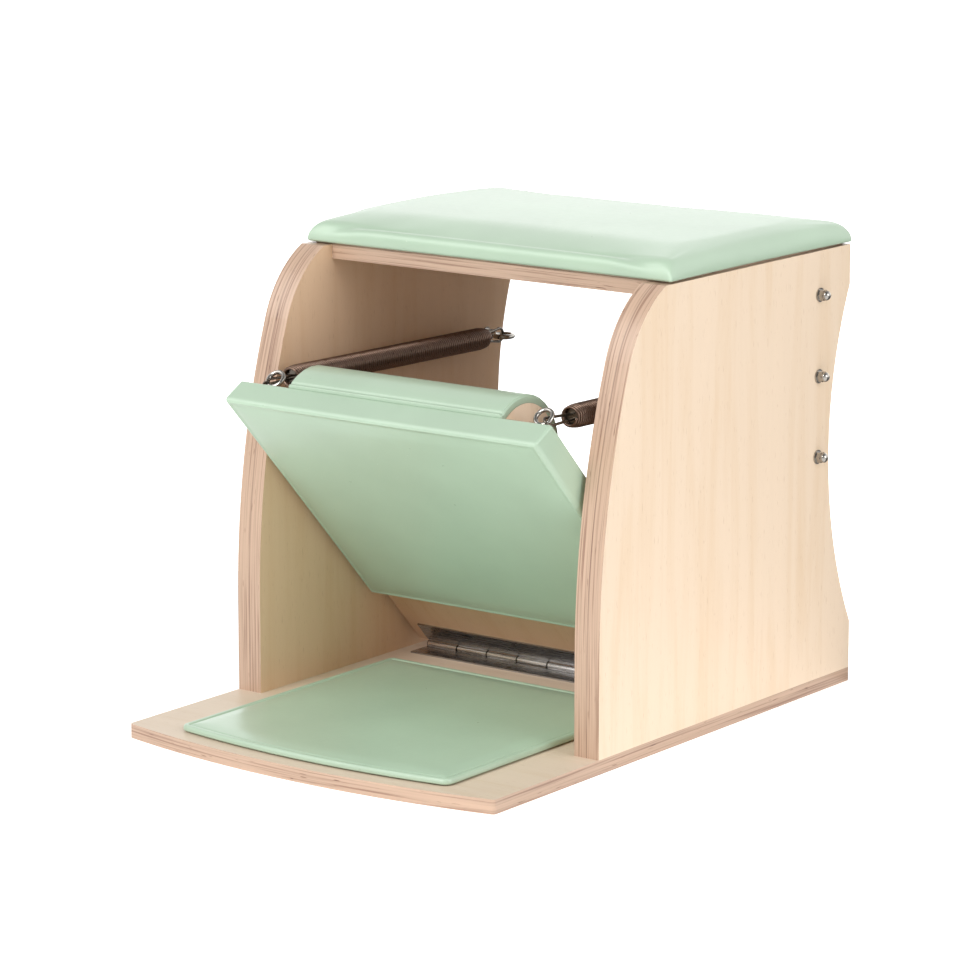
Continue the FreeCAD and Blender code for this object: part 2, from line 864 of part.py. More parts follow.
# The nodes, one file each
nodes["base_board"] = base_board()
nodes["base_screws"] = Part.makeCompound(base_screws())
nodes["base_mat"] = base_mat()
for side_name, side_sign in sides.items():
    nodes[side_name + "_side_panel"] = side_panel(side_sign)
nodes["seat_board"] = seat_board()
nodes["seat_dowels"] = Part.makeCompound(seat_dowels())
nodes["seat_screws"] = Part.makeCompound(seat_screws())
nodes["seat_cushion_backing"] = cut_all(cushion_backing(), seat_screws(hole_fit))
nodes["seat_cushion"] = seat_cushion()
nodes["hinge_base_leaf"] = hinge_base_leaf()
nodes["hinge_base_screws"] = Part.makeCompound(hinge_screws())
nodes["hinge_pin"] = rod(vec(-hinge_length / 2, hinge_y, hinge_z), x_axis, pin_diameter, hinge_length)
nodes["hinge_pedal_leaf"] = hinge_pedal_leaf()
nodes["hinge_pedal_screws"] = pedal_place(Part.makeCompound(pedal_hinge_screws()))
nodes["pedal_board"] = pedal_board()
nodes["pedal_pad"] = pedal_pad()
nodes["foot_bar"] = foot_bar()
nodes["foot_bar_padding"] = foot_bar_padding()
nodes["foot_bar_screws"] = pedal_place(Part.makeCompound(bar_screws()))
nodes["pedal_tee_nuts"] = pedal_place(Part.makeCompound(tee_nuts()))
nodes["panel_washers"] = Part.makeCompound(panel_washers())
nodes["panel_lock_nuts"] = Part.makeCompound(lock_nuts())
nodes["panel_cap_nuts"] = Part.makeCompound(cap_nuts())
for side_name, side_sign in sides.items():
    for level, eye_z in eye_heights().items():
        nodes[side_name + "_" + level + "_eye_bolt"] = panel_eye(side_sign, eye_z)
    nodes[side_name + "_pedal_eye"] = pedal_eye(side_sign)
    nodes[side_name + "_spring_coil"] = spring_place(spring_coil(), side_sign)
    nodes[side_name + "_spring_front_hook"] = spring_place(front_hook(side_sign), side_sign)
    nodes[side_name + "_spring_rear_hook"] = spring_place(rear_hook(), side_sign)

os.makedirs("parts", exist_ok=True)
for name, shape in nodes.items():
    shape.exportStep("parts/" + name + ".step")
    print(name, "solids", len(shape.Solids), "valid", shape.isValid(), "volume", round(shape.Volume))
print("least gap between a spring's own turns:", round(coil_self_gap(), 2))
print("hinge pin at", round(hinge_y, 3), round(hinge_z, 3))
print("spring pivot at", round(loop_y, 4), round(loop_z, 4))
print("spring span", round(spring_span, 3), "lean in degrees", round(spring_lean_deg, 5))
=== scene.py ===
import json
import math

import bmesh
import bpy
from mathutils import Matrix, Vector


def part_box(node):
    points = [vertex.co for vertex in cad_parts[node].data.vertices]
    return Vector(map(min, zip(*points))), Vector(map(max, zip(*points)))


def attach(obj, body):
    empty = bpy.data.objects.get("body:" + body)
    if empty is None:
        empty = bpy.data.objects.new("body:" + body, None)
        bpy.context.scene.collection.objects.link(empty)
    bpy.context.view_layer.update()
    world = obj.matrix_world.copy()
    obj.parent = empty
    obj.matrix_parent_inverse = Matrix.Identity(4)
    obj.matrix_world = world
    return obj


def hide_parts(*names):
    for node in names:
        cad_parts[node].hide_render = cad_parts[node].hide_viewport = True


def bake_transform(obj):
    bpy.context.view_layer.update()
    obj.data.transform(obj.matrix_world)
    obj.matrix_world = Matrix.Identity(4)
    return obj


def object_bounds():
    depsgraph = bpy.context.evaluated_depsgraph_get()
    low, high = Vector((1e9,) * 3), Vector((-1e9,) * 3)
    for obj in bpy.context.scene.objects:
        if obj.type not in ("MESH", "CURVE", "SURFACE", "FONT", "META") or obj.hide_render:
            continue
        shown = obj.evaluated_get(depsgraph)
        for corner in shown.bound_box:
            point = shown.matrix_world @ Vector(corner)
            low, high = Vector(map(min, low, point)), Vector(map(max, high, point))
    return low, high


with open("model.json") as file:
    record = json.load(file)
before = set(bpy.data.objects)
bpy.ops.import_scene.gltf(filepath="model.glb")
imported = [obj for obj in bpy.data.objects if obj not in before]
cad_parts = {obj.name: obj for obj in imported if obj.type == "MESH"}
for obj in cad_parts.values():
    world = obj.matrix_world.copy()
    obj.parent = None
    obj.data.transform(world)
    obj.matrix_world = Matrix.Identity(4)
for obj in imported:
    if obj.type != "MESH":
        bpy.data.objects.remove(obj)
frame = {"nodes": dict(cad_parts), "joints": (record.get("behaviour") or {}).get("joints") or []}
cad_low, cad_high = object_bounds()

bl_info = {
    "name": "Pilates chair",
    "version": (1, 0, 0),
    "blender": (4, 5, 0),
    "location": "3D View > Sidebar > Pilates chair",
    "description": "Dresses a pilates chair with plywood, vinyl pads, springs and steel",
    "category": "Object",
}

MM = 0.001
JOINTS = {joint["name"]: joint for joint in frame["joints"]}
HINGE = Vector(JOINTS["pedal_swing"]["pos_m"])
SIDES = {"left": -1, "right": 1}
# Heights of the pedal board's padded face and of its back over the hinge's axis.
BOARD_FACE = 4.75 * MM
BOARD_BACK = 22.75 * MM


def linear(colour):
    """An sRGB hex colour as linear red, green and blue."""
    parts = [int(colour[k : k + 2], 16) / 255 for k in (1, 3, 5)]
    return tuple(p / 12.92 if p <= 0.04045 else ((p + 0.055) / 1.055) ** 2.4 for p in parts)


def length(name, description, millimetres):
    """A size that a user may change, in metres."""
    return bpy.props.FloatProperty(
        name=name, description=description, default=millimetres * MM, unit="LENGTH", precision=4
    )


def colour(name, description, hex_colour):
    """A colour that a user may change."""
    return bpy.props.FloatVectorProperty(
        name=name, description=description, default=linear(hex_colour), subtype="COLOR", min=0.0, max=1.0
    )


class ChairColours(bpy.types.PropertyGroup):
    """Finishes of the chair."""

    vinyl: colour("Vinyl", "Upholstery vinyl on the seat, pedal, foot bar and mat", "#AEC4AD")
    maple: colour("Maple", "Face veneer of the plywood", "#EBD5BC")
    maple_figure: colour("Maple figure", "Darker streaks in the face veneer", "#E4C9A9")
    ply_pale: colour("Pale ply", "Face-grain layers on the plywood's edges", "#BC9F89")
    ply_dark: colour("Dark ply", "End-grain layers on the plywood's edges", "#977663")
    zinc: colour("Zinc", "Bright zinc plate on nuts, washers, eyes and screws", "#A8A49E")
    stainless: colour("Stainless", "Brushed stainless steel of the hinge", "#E6E4E4")
    wire: colour("Spring wire", "Oil-tempered wire of the springs", "#725E52")
    hook: colour("Hook wire", "Bare wire of the spring hooks", "#6E675F")
    floor: colour("Floor", "Studio floor", "#FAFAFA")


class ChairSizes(bpy.types.PropertyGroup):
    """Sizes of the soft and wound pieces."""

    cushion_corner_height: length("Cushion corner height", "Height of the seat's pinched corners", 15)
    cushion_side_height: length("Cushion side height", "Height of the seat's sides between corners", 22)
    cushion_roll: length("Cushion roll", "Radius of the seat's upper edge", 10)
    cushion_slope: length("Cushion slope", "How far in from the edge the seat's shoulder rises", 9)
    cushion_crown: length("Cushion crown", "Rise of the seat's middle above its shoulder", 6)
    cushion_spread: length("Cushion spread", "How far in from the edge the crown rises", 90)
    cushion_crease: length("Cushion crease", "Distance of the crease from the seat's front and rear", 17)
    cushion_crease_depth: length("Crease depth", "Depth of the crease behind the rolls", 2.4)
    cushion_puff: length("Cushion puff", "How much fuller the seat's left side is", 10)
    cushion_dip: length("Cushion dip", "How far the seat's rear edge sinks between the corners", 6)
    mat_hem: length("Mat hem", "Width of the hem round the mat", 9)
    mat_roll: length("Mat roll", "Radius of the mat's upper edge", 4)
    pedal_angle: bpy.props.FloatProperty(
        name="Pedal angle", description="Rest angle of the pedal", default=math.radians(46), subtype="ANGLE"
    )
    pedal_start: length("Pad start", "Distance from the hinge to the pedal pad", 131)
    pedal_reach: length("Pedal reach", "Distance from the hinge to the pedal's upper edge", 540)
    pedal_bevel: length("Pedal bevel", "How far the pad's ridge stands past the upper edge", 10)
    pedal_width: length("Pedal width", "Width of the padded pedal", 476)
    pedal_roll: length("Pedal roll", "Radius of the pedal pad's ridges", 7)
    vinyl_lip: length("Vinyl lip", "Thickness of the vinyl on the pedal's sides", 1.5)
    bar_length: length("Foot bar length", "Length of the half-round foot bar", 326)
    bar_radius: length("Foot bar radius", "Radius of the padded foot bar", 71)
    bar_padding: length("Foot bar padding", "Thickness of the foot bar's padding", 10)
    bar_centre: length("Foot bar place", "Distance from the hinge to the middle of the foot bar", 469)
    coil_front: length("Coil front", "Distance from the pedal eye to the coil", 40)
    coil_length: length("Coil length", "Length of the coil at rest", 409.7)
    coil_radius: length("Coil radius", "Radius to the middle of the wire", 13)
    mouth_radius: length("Mouth radius", "Radius to the middle of the wire at the coil's ends", 10.2)
    coil_taper: length("Coil taper", "Length over which the coil narrows at each end", 20)
    wire_diameter: length("Wire diameter", "Diameter of the spring's wire", 3.7)
    coil_turns: bpy.props.IntProperty(
        name="Coil turns", description="Turns in each spring", default=101, min=4
    )


def add_node(tree, kind, links=None, stops=None, **settings):
    """Adds a shader node with its settings. links gives each input a socket to follow or a value to hold."""
    node = tree.nodes.new(kind)
    for name, value in settings.items():
        setattr(node, name, value)
    for place, (position, shade) in enumerate(stops or ()):
        if place >= 2:
            node.color_ramp.elements.new(position)
        node.color_ramp.elements[place].position = position
        node.color_ramp.elements[place].color = (*shade, 1.0)
    for name, value in (links or {}).items():
        if isinstance(value, bpy.types.NodeSocket):
            tree.links.new(value, node.inputs[name])
        else:
            node.inputs[name].default_value = value
    return node


def new_material(name):
    """An empty material with its node tree, shader and texture coordinates."""
    material = bpy.data.materials.new(name)
    material.use_nodes = True
    tree = material.node_tree
    shader = tree.nodes["Principled BSDF"]
    place = add_node(tree, "ShaderNodeTexCoord")
    return material, tree, shader, place


def grey(value):
    return (value, value, value)


def tinted(shade, factor):
    """A colour made lighter or darker."""
    return tuple(min(1.0, channel * factor) for channel in shade)


def vinyl_material(name, shade):
    """Calendered vinyl with a fine leather emboss: soft broad highlights, and a grain seen only close up."""
    material, tree, shader, place = new_material(name)
    cloud = add_node(
        tree,
        "ShaderNodeTexNoise",
        {"Vector": place.outputs["Object"], "Scale": 1 / (120 * MM), "Detail": 2.0},
    )
    tone = add_node(
        tree,
        "ShaderNodeValToRGB",
        {"Fac": cloud.outputs["Fac"]},
        stops=((0.3, tinted(shade, 0.955)), (0.7, tinted(shade, 1.03))),
    )
    # Embossed pebbles of 1.6 mm, drawn a little coarser than the real grain so that they show.
    pebbles = add_node(
        tree,
        "ShaderNodeTexVoronoi",
        {"Vector": place.outputs["Object"], "Scale": 1 / (1.6 * MM)},
        feature="SMOOTH_F1",
    )
    fine = add_node(
        tree, "ShaderNodeTexNoise", {"Vector": place.outputs["Object"], "Scale": 1 / (9 * MM), "Detail": 4.0}
    )
    emboss = add_node(
        tree,
        "ShaderNodeBump",
        {"Height": pebbles.outputs["Distance"], "Distance": 0.06 * MM, "Strength": 0.5},
    )
    soft = add_node(
        tree,
        "ShaderNodeBump",
        {
            "Height": fine.outputs["Fac"],
            "Distance": 0.18 * MM,
            "Strength": 0.5,
            "Normal": emboss.outputs["Normal"],
        },
    )
    rough = add_node(
        tree, "ShaderNodeMapRange", {"Value": fine.outputs["Fac"], "To Min": 0.25, "To Max": 0.35}
    )
    # Pale specks of dust 1.4 mm across, a few centimetres apart.
    dots = add_node(
        tree, "ShaderNodeTexVoronoi", {"Vector": place.outputs["Object"], "Scale": 1 / (34 * MM)}
    )
    dust = add_node(
        tree,
        "ShaderNodeMapRange",
        {"Value": dots.outputs["Distance"], "From Min": 0.03, "From Max": 0.015, "To Max": 0.35},
    )
    whole = add_node(
        tree,
        "ShaderNodeMix",
        {"Factor": dust.outputs["Result"], "A": tone.outputs["Color"], "B": (*linear("#EDF0EB"), 1.0)},
        data_type="RGBA",
    )
    tree.links.new(whole.outputs["Result"], shader.inputs["Base Color"])
    tree.links.new(soft.outputs["Normal"], shader.inputs["Normal"])
    tree.links.new(rough.outputs["Result"], shader.inputs["Roughness"])
    shader.inputs["IOR"].default_value = 1.52
    return material


def mint_vinyl(context):
    """The vinyl that all the chair's pads share."""
    found = bpy.data.materials.get("mint_vinyl")
    return found or vinyl_material("mint_vinyl", context.scene.chair_colours.vinyl)


def plywood_material(name, colours, across, grain, thick, tilt=0.0, middle=None, shaded_face=None):
    """Lacquered birch plywood faced with maple: pale faces with long faint streaks, and layers on the edges.

    across, grain and thick name the axes of the board, after turning it flat by tilt. middle is the place
    of the glue line between two doubled sheets. The last argument gives the way, 1 or -1 along thick, of
    a face painted darker as painted shade, and the tint of that painted shade.
    """
    material, tree, shader, place = new_material(name)
    flat = add_node(
        tree, "ShaderNodeMapping", {"Vector": place.outputs["Object"], "Rotation": (tilt, 0, 0)}
    )
    facing = add_node(
        tree, "ShaderNodeMapping", {"Vector": place.outputs["Normal"], "Rotation": (tilt, 0, 0)}
    )
    axes = add_node(tree, "ShaderNodeSeparateXYZ", {"Vector": flat.outputs["Vector"]})
    normal = add_node(tree, "ShaderNodeSeparateXYZ", {"Vector": facing.outputs["Vector"]})
    board = add_node(
        tree,
        "ShaderNodeCombineXYZ",
        {"X": axes.outputs[across], "Y": axes.outputs[grain], "Z": axes.outputs[thick]},
    )
    # Broad growth figure of 38 mm with streaks down to a few millimetres, drawn out and bent along the grain.
    streak_place = add_node(
        tree,
        "ShaderNodeMapping",
        {"Vector": board.outputs["Vector"], "Scale": (1 / (38 * MM), 1 / (520 * MM), 1 / (38 * MM))},
    )
    streaks = add_node(
        tree,
        "ShaderNodeTexNoise",
        {
            "Vector": streak_place.outputs["Vector"],
            "Scale": 1.0,
            "Detail": 6.0,
            "Roughness": 0.62,
            "Distortion": 0.5,
        },
    )
    maple = add_node(
        tree,
        "ShaderNodeValToRGB",
        {"Fac": streaks.outputs["Fac"]},
        stops=((0.26, colours.maple_figure), (0.52, colours.maple), (0.78, tinted(colours.maple, 1.03))),
    )
    # Brown pith flecks 2 mm wide and 16 mm long, here and there.
    pore_place = add_node(
        tree,
        "ShaderNodeMapping",
        {"Vector": board.outputs["Vector"], "Scale": (1 / (2 * MM), 1 / (16 * MM), 1 / (2 * MM))},
    )
    pores = add_node(
        tree, "ShaderNodeTexNoise", {"Vector": pore_place.outputs["Vector"], "Scale": 1.0, "Detail": 2.0}
    )
    pore_tone = add_node(
        tree,
        "ShaderNodeValToRGB",
        {"Fac": pores.outputs["Fac"]},
        stops=((0.27, linear("#DFD4C8")), (0.36, grey(1.0))),
    )
    face = add_node(
        tree,
        "ShaderNodeMix",
        {"Factor": 0.5, "A": maple.outputs["Color"], "B": pore_tone.outputs["Color"]},
        data_type="RGBA",
        blend_type="MULTIPLY",
    )
    # Layers of 1.4 mm are drawn as streaks of 2 mm, so that they show.
    layer_place = add_node(
        tree,
        "ShaderNodeMapping",
        {"Vector": board.outputs["Vector"], "Scale": (1 / (170 * MM), 1 / (170 * MM), 1 / (2 * MM))},
    )
    layers = add_node(
        tree, "ShaderNodeTexNoise", {"Vector": layer_place.outputs["Vector"], "Scale": 1.0, "Detail": 3.0}
    )
    layer_tone = add_node(
        tree,
        "ShaderNodeValToRGB",
        {"Fac": layers.outputs["Fac"]},
        stops=((0.33, colours.ply_dark), (0.47, colours.ply_pale), (0.68, tinted(colours.ply_pale, 1.14))),
    )
    # Short dark voids in the core, 1.5 mm high and a few centimetres long.
    void_place = add_node(
        tree,
        "ShaderNodeMapping",
        {
            "Vector": board.outputs["Vector"],
            "Location": (3.1, 1.7, 0.2),
            "Scale": (1 / (26 * MM), 1 / (26 * MM), 1 / (1.6 * MM)),
        },
    )
    voids = add_node(
        tree, "ShaderNodeTexNoise", {"Vector": void_place.outputs["Vector"], "Scale": 1.0, "Detail": 1.0}
    )
    void_tone = add_node(
        tree,
        "ShaderNodeValToRGB",
        {"Fac": voids.outputs["Fac"]},
        stops=((0.22, linear("#A0897C")), (0.28, grey(1.0))),
    )
    edge = add_node(
        tree,
        "ShaderNodeMix",
        {"Factor": 1.0, "A": layer_tone.outputs["Color"], "B": void_tone.outputs["Color"]},
        data_type="RGBA",
        blend_type="MULTIPLY",
    )
    edge_colour = edge.outputs["Result"]
    if middle is not None:
        # The glue line between two sheets: a dark line 1 mm wide that comes and goes.
        away = add_node(tree, "ShaderNodeMath", {0: axes.outputs[thick], 1: middle}, operation="SUBTRACT")
        distance = add_node(tree, "ShaderNodeMath", {0: away.outputs["Value"]}, operation="ABSOLUTE")
        near = add_node(
            tree,
            "ShaderNodeMapRange",
            {"Value": distance.outputs["Value"], "From Min": 1.1 * MM, "From Max": 0.3 * MM},
        )
        patch = add_node(
            tree,
            "ShaderNodeTexNoise",
            {"Vector": board.outputs["Vector"], "Scale": 1 / (60 * MM), "Detail": 2.0},
        )
        amount = add_node(
            tree,
            "ShaderNodeMath",
            {0: near.outputs["Result"], 1: patch.outputs["Fac"]},
            operation="MULTIPLY",
        )
        glued = add_node(
            tree,
            "ShaderNodeMix",
            {"Factor": amount.outputs["Value"], "A": edge_colour, "B": (*linear("#6F5245"), 1.0)},
            data_type="RGBA",
        )
        edge_colour = glued.outputs["Result"]
    upright = add_node(tree, "ShaderNodeMath", {0: normal.outputs[thick]}, operation="ABSOLUTE")
    is_face = add_node(
        tree, "ShaderNodeMapRange", {"Value": upright.outputs["Value"], "From Min": 0.62, "From Max": 0.8}
    )
    face_colour = face.outputs["Result"]
    # Painted shade: the face that the last argument names is multiplied by its darker tint.
    if shaded_face:
        way, tint = shaded_face
        turned = add_node(tree, "ShaderNodeMath", {0: normal.outputs[thick], 1: way}, operation="MULTIPLY")
        is_shaded_face = add_node(
            tree,
            "ShaderNodeMapRange",
            {"Value": turned.outputs["Value"], "From Min": 0.62, "From Max": 0.8},
        )
        painted_shade = add_node(
            tree,
            "ShaderNodeMix",
            {"Factor": is_shaded_face.outputs["Result"], "A": face_colour, "B": (*linear(tint), 1.0)},
            data_type="RGBA",
            blend_type="MULTIPLY",
        )
        face_colour = painted_shade.outputs["Result"]
    whole = add_node(
        tree,
        "ShaderNodeMix",
        {"Factor": is_face.outputs["Result"], "A": edge_colour, "B": face_colour},
        data_type="RGBA",
    )
    bump = add_node(
        tree, "ShaderNodeBump", {"Height": pores.outputs["Fac"], "Distance": 0.05 * MM, "Strength": 0.4}
    )
    rough = add_node(
        tree, "ShaderNodeMapRange", {"Value": is_face.outputs["Result"], "To Min": 0.32, "To Max": 0.5}
    )
    tree.links.new(whole.outputs["Result"], shader.inputs["Base Color"])
    tree.links.new(bump.outputs["Normal"], shader.inputs["Normal"])
    tree.links.new(rough.outputs["Result"], shader.inputs["Roughness"])
    return material


def metal_material(name, shade, roughness, streak, joints=None):
    """Metal whose surface was drawn, brushed or plated: streak gives the size of its marks along X, Y and Z.

    joints, the place of a hinge's first joint and the length of its knuckles, darkens the joints, and paints
    the hinge's leaves darker as painted shade and painted dark reflection.
    """
    material, tree, shader, place = new_material(name)
    marks_place = add_node(
        tree,
        "ShaderNodeMapping",
        {"Vector": place.outputs["Object"], "Scale": tuple(1 / size for size in streak)},
    )
    marks = add_node(
        tree, "ShaderNodeTexNoise", {"Vector": marks_place.outputs["Vector"], "Scale": 1.0, "Detail": 3.0}
    )
    tone = add_node(
        tree,
        "ShaderNodeValToRGB",
        {"Fac": marks.outputs["Fac"]},
        stops=((0.3, tinted(shade, 0.82)), (0.7, tinted(shade, 1.1))),
    )
    spread = 0.06
    rough = add_node(
        tree,
        "ShaderNodeMapRange",
        {
            "Value": marks.outputs["Fac"],
            "From Min": 0.3,
            "From Max": 0.7,
            "To Min": roughness - spread,
            "To Max": roughness + spread,
        },
    )
    bump = add_node(
        tree, "ShaderNodeBump", {"Height": marks.outputs["Fac"], "Distance": 0.03 * MM, "Strength": 0.3}
    )
    finish = tone.outputs["Color"]
    if joints:
        # Old grease darkens each joint for 1 mm to either side. The leaves are painted halfway to the
        # grease's
        # dark colour: painted shade and painted dark reflection. The knuckles keep the plain finish.
        start, knuckle = joints
        axes = add_node(tree, "ShaderNodeSeparateXYZ", {"Vector": place.outputs["Object"]})
        along = add_node(tree, "ShaderNodeMath", {0: axes.outputs["X"], 1: start}, operation="SUBTRACT")
        count = add_node(tree, "ShaderNodeMath", {0: along.outputs["Value"], 1: knuckle}, operation="DIVIDE")
        away = add_node(tree, "ShaderNodeMath", {0: count.outputs["Value"], 1: 0.5}, operation="PINGPONG")
        line = add_node(
            tree,
            "ShaderNodeMapRange",
            {
                "Value": away.outputs["Value"],
                "From Min": 0.8 * MM / knuckle,
                "From Max": 1.6 * MM / knuckle,
                "To Min": 0.1,
            },
        )
        across = add_node(
            tree,
            "ShaderNodeCombineXYZ",
            {"X": HINGE.x, "Y": axes.outputs["Y"], "Z": axes.outputs["Z"]},
        )
        radius = add_node(
            tree, "ShaderNodeVectorMath", {0: across.outputs["Vector"], 1: HINGE}, operation="DISTANCE"
        )
        # Mask of the leaves, which take the painted shade.
        leaf = add_node(
            tree,
            "ShaderNodeMapRange",
            {"Value": radius.outputs["Value"], "From Min": 5.0 * MM, "From Max": 5.4 * MM},
        )
        clean = add_node(
            tree, "ShaderNodeMix", {"Factor": leaf.outputs["Result"], "A": line.outputs["Result"], "B": 0.5}
        )
        grease_and_shade = add_node(
            tree,
            "ShaderNodeMix",
            {"Factor": clean.outputs["Result"], "A": (*linear("#302C27"), 1.0), "B": finish},
            data_type="RGBA",
        )
        finish = grease_and_shade.outputs["Result"]
    tree.links.new(finish, shader.inputs["Base Color"])
    tree.links.new(rough.outputs["Result"], shader.inputs["Roughness"])
    tree.links.new(bump.outputs["Normal"], shader.inputs["Normal"])
    shader.inputs["Metallic"].default_value = 1.0
    return material


def dress(node_name, material, edge_break=0.0):
    """Gives a CAD node its material, and breaks its sharp edges."""
    node = frame["nodes"][node_name]
    node.data.materials.clear()
    node.data.materials.append(material)
    if edge_break:
        bevel = node.modifiers.new("edge_break", "BEVEL")
        bevel.width = edge_break
        bevel.segments = 2
        bevel.limit_method = "ANGLE"
        bevel.angle_limit = math.radians(50)


def add_object(name, data):
    """Puts a new object in the scene."""
    made = bpy.data.objects.new(name, data)
    bpy.context.scene.collection.objects.link(made)
    return made


def link_piece(name, mesh, material):
    """Makes an object of a mesh, with its material and smooth shading."""
    piece = add_object(name, mesh)
    mesh.materials.append(material)
    mesh.shade_smooth()
    return piece


def mesh_of(name, points, faces):
    """A closed mesh with its faces turned outwards."""
    form = bmesh.new()
    corners = [form.verts.new(point) for point in points]
    for face in faces:
        form.faces.new([corners[k] for k in face])
    bmesh.ops.recalc_face_normals(form, faces=form.faces)
    mesh = bpy.data.meshes.new(name)
    form.to_mesh(mesh)
    form.free()
    return mesh


def tube_mesh(name, points, count):
    """A closed mesh of successive rings of count points, with a flat cap at each end."""
    steps = len(points) // count - 1
    faces = []
    for step in range(steps):
        a, b = step * count, (step + 1) * count
        for k in range(count):
            after = (k + 1) % count
            faces.append((a + k, a + after, b + after, b + k))
    faces.append(tuple(range(count)))
    faces.append(tuple(range(steps * count, (steps + 1) * count)))
    return mesh_of(name, points, faces)


def edge_steps(span, near):
    """Places from 0 to span: the near ones, in millimetres, at both ends, and even ones between them."""
    near = [step * MM for step in near]
    usual_gap = 14 * MM
    count = max(2, round((span - 2 * near[-1]) / usual_gap))
    gap = (span - 2 * near[-1]) / count
    middle = [near[-1] + gap * k for k in range(1, count)]
    return near + middle + [span - step for step in reversed(near)]


def rounded(x, y, width, depth, corner):
    """Moves a point of a rectangle so that its corners become round, and gives its distance from the edge."""
    from_x = min(x, width - x)
    from_y = min(y, depth - y)
    if from_x >= corner or from_y >= corner:
        return x, y, min(from_x, from_y)
    a = 1 - from_x / corner
    b = 1 - from_y / corner
    round_a = a * math.sqrt(1 - b * b / 2)
    round_b = b * math.sqrt(1 - a * a / 2)
    new_x = corner * (1 - round_a)
    new_y = corner * (1 - round_b)
    inside = corner * (1 - math.hypot(round_a, round_b))
    return (new_x if x < width / 2 else width - new_x), (new_y if y < depth / 2 else depth - new_y), inside


def pad_rows(width, depth, corner, height, near):
    """The upper face of a pad as rows of points (x, y, height), from a corner at 0, 0."""
    rows = []
    for y in edge_steps(depth, near):
        row = []
        for x in edge_steps(width, near):
            new_x, new_y, inside = rounded(x, y, width, depth, corner)
            row.append((new_x, new_y, height(new_x, new_y, inside)))
        rows.append(row)
    return rows


def rim_of(rows):
    """Places of the outer points of a grid, in order round it."""
    last_row = len(rows) - 1
    last = len(rows[0]) - 1
    rim = [(0, k) for k in range(last)]
    rim += [(k, last) for k in range(last_row)]
    rim += [(last_row, k) for k in range(last, 0, -1)]
    rim += [(k, 0) for k in range(last_row, 0, -1)]
    return rim


def closed_pad(name, rows, walls, place, other_walls=None, other_share=None):
    """A closed pad: the upper grid, rings of wall given as (inset, height), and a flat underside.

    Where other_share, a function of a place on the outline, is above 0, the rings go over to other_walls.
    """
    width = len(rows[0])
    points = [point for row in rows for point in row]
    faces = []
    for j in range(len(rows) - 1):
        for i in range(width - 1):
            a = j * width + i
            faces.append((a, a + 1, a + 1 + width, a + width))
    ring = [j * width + i for j, i in rim_of(rows)]
    outline = [Vector(points[k][:2]) for k in ring]
    count = len(ring)
    outward = []
    for k in range(count):
        along = outline[(k + 1) % count] - outline[k - 1]
        outward.append(Vector((along.y, -along.x)).normalized())
    rings = [ring]
    for wall, other in zip(walls, other_walls or walls):
        start = len(points)
        for k in range(count):
            share = other_share(outline[k]) if other_share else 0.0
            inset, z = Vector(wall).lerp(Vector(other), share)
            spot = outline[k] - outward[k] * inset
            points.append((spot.x, spot.y, z))
        rings.append(list(range(start, start + count)))
    for upper, lower in zip(rings, rings[1:]):
        for k in range(count):
            after = (k + 1) % count
            faces.append((upper[k], upper[after], lower[after], lower[k]))
    faces.append(tuple(rings[-1]))
    return mesh_of(name, [place(*point) for point in points], faces), rings


def swell(piece, held, cap, pressure):
    """Lets a pad's cover swell under the pressure of its foam, apart from the held points, by at most cap."""
    scene = bpy.context.scene
    rest = [vertex.co.copy() for vertex in piece.data.vertices]
    group = piece.vertex_groups.new(name="held")
    group.add(list(held), 1.0, "REPLACE")
    cloth = piece.modifiers.new("foam", "CLOTH")
    cloth.settings.vertex_group_mass = "held"
    cloth.settings.use_pressure = True
    cloth.settings.uniform_pressure_force = pressure
    cloth.settings.effector_weights.gravity = 0.0
    cloth.settings.quality = 5
    last_frame = 20
    for step in range(1, last_frame + 1):
        scene.frame_set(step)
    evaluated = piece.evaluated_get(bpy.context.evaluated_depsgraph_get())
    moved = [vertex.co.copy() for vertex in evaluated.data.vertices]
    scene.frame_set(1)
    piece.modifiers.remove(cloth)
    piece.vertex_groups.remove(group)
    for vertex, start, end in zip(piece.data.vertices, rest, moved):
        move = end - start
        if move.length > cap:
            move *= cap / move.length
        vertex.co = start + move
    piece.data.update()


def smooth_once(piece):
    """One subdivision of a soft piece."""
    smooth = piece.modifiers.new("smooth", "SUBSURF")
    smooth.levels = smooth.render_levels = 1


def ease(share):
    """A smooth step from 0 to 1."""
    share = max(0.0, min(1.0, share))
    return share * share * (3 - 2 * share)


def ridge(distance, middle, spread):
    """A soft ridge, 1 high at its middle."""
    return math.exp(-(((distance - middle) / spread) ** 2))


def drawn_in(x, y, width, depth, draw):
    """Moves a point of a rectangle so that its sides are drawn in between the corners."""
    along_x = 2 * x / width - 1
    along_y = 2 * y / depth - 1
    x_in = draw * (1 - along_y * along_y) * along_x
    y_in = draw * (1 - along_x * along_x) * along_y
    return x - x_in, y - y_in


def rolled(inside, radius):
    """How far a rounded edge lies below its full height, at a distance from the edge."""
    if inside >= radius:
        return 0.0
    return radius - math.sqrt(radius * radius - (radius - inside) ** 2)


def pedal_point(sizes, x, along, over):
    """A point of the pedal: along runs from the hinge up the pedal, over runs out of its upper face."""
    turn = sizes.pedal_angle
    y = HINGE.y - along * math.cos(turn) + over * math.sin(turn)
    return Vector((x, y, HINGE.z + along * math.sin(turn) + over * math.cos(turn)))


